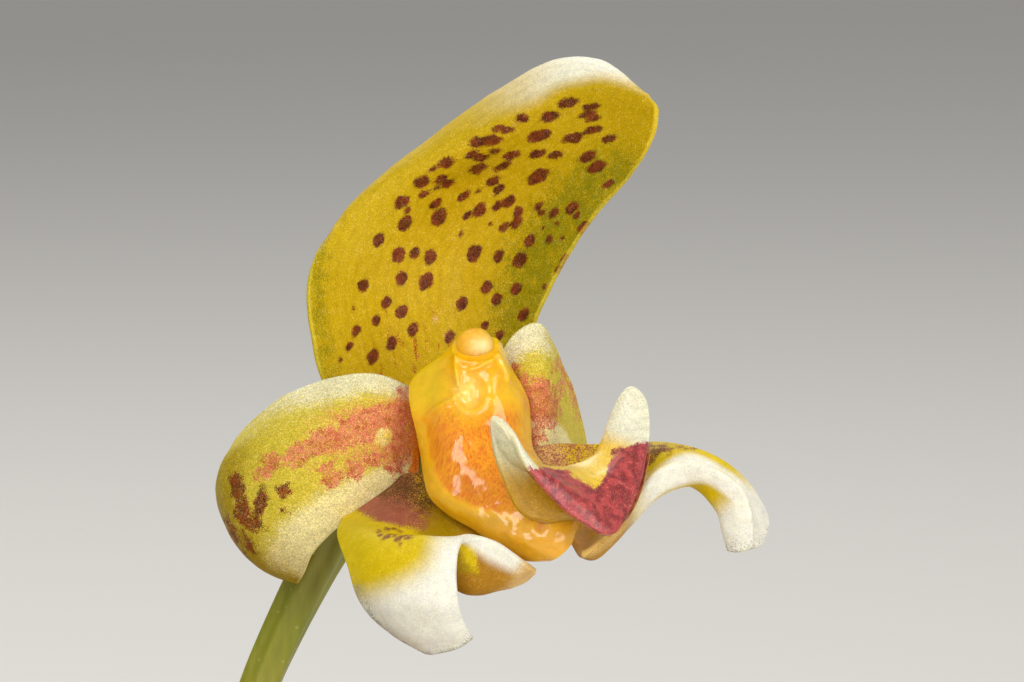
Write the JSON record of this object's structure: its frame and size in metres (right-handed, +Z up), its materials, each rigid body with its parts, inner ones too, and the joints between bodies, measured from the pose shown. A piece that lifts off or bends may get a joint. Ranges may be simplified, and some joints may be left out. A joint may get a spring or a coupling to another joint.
{
  "type": "potted bulbophyllum pteroglossum",
  "caption": "Potted creeping orchid in bloom: ribbed pseudobulbs with leathery leaves over bark in a tapered clay pot, and a spotted flower on a slender arching stalk.",
  "frame": {"origin": "middle of the pot's flat base, on the surface it stands on", "axes": "+Z up out of the pot, +X toward the side where the flower hangs over the rim, -Y toward the viewer of the picture, whom the flower half faces"},
  "size_m": [0.1518, 0.1514, 0.1525],
  "materials": {
    "terracotta": "fired clay, unglazed, matte, with faint pale bloom",
    "bark": "rough orchid bark chips, matte",
    "rhizome": "brown-green creeping stem with papery scale scars and pale roots",
    "pseudobulb": "ribbed, satin green",
    "leaf": "leathery green, satin, channelled midrib",
    "stalk": "olive green, satin",
    "dorsal_sepal": "translucent yellow-olive with dark maroon spots and a whitish margin toward the tip",
    "petal": "pale yellow, crystalline sparkle, salmon to maroon streak",
    "lateral_sepal": "yellow at the base to cream white tips, purple-brown inside the base",
    "column": "glossy amber yellow with fine orange-red streaks",
    "anther_cap": "pale amber, glossy",
    "lip": "cream wings, yellow valley and maroon margin, fleshy"
  },
  "bodies": {
    "root": {"pot": "terracotta", "bark_medium": "bark", "rhizome": "rhizome", "pseudobulb_1": "pseudobulb", "pseudobulb_2": "pseudobulb", "pseudobulb_3": "pseudobulb", "pseudobulb_4": "pseudobulb", "pseudobulb_5": "pseudobulb", "pseudobulb_6": "pseudobulb", "pseudobulb_7": "pseudobulb", "leaf_1": "leaf", "leaf_2": "leaf", "leaf_3": "leaf", "leaf_4": "leaf", "leaf_5": "leaf", "leaf_6": "leaf", "leaf_7": "leaf", "scape": "stalk", "ovary": "stalk", "dorsal_sepal": "dorsal_sepal", "petal_left": "petal", "petal_right": "petal", "lateral_sepal_left": "lateral_sepal", "lateral_sepal_right": "lateral_sepal", "column": "column", "anther_cap": "anther_cap", "lip": "lip"}
  },
  "joints": []
}
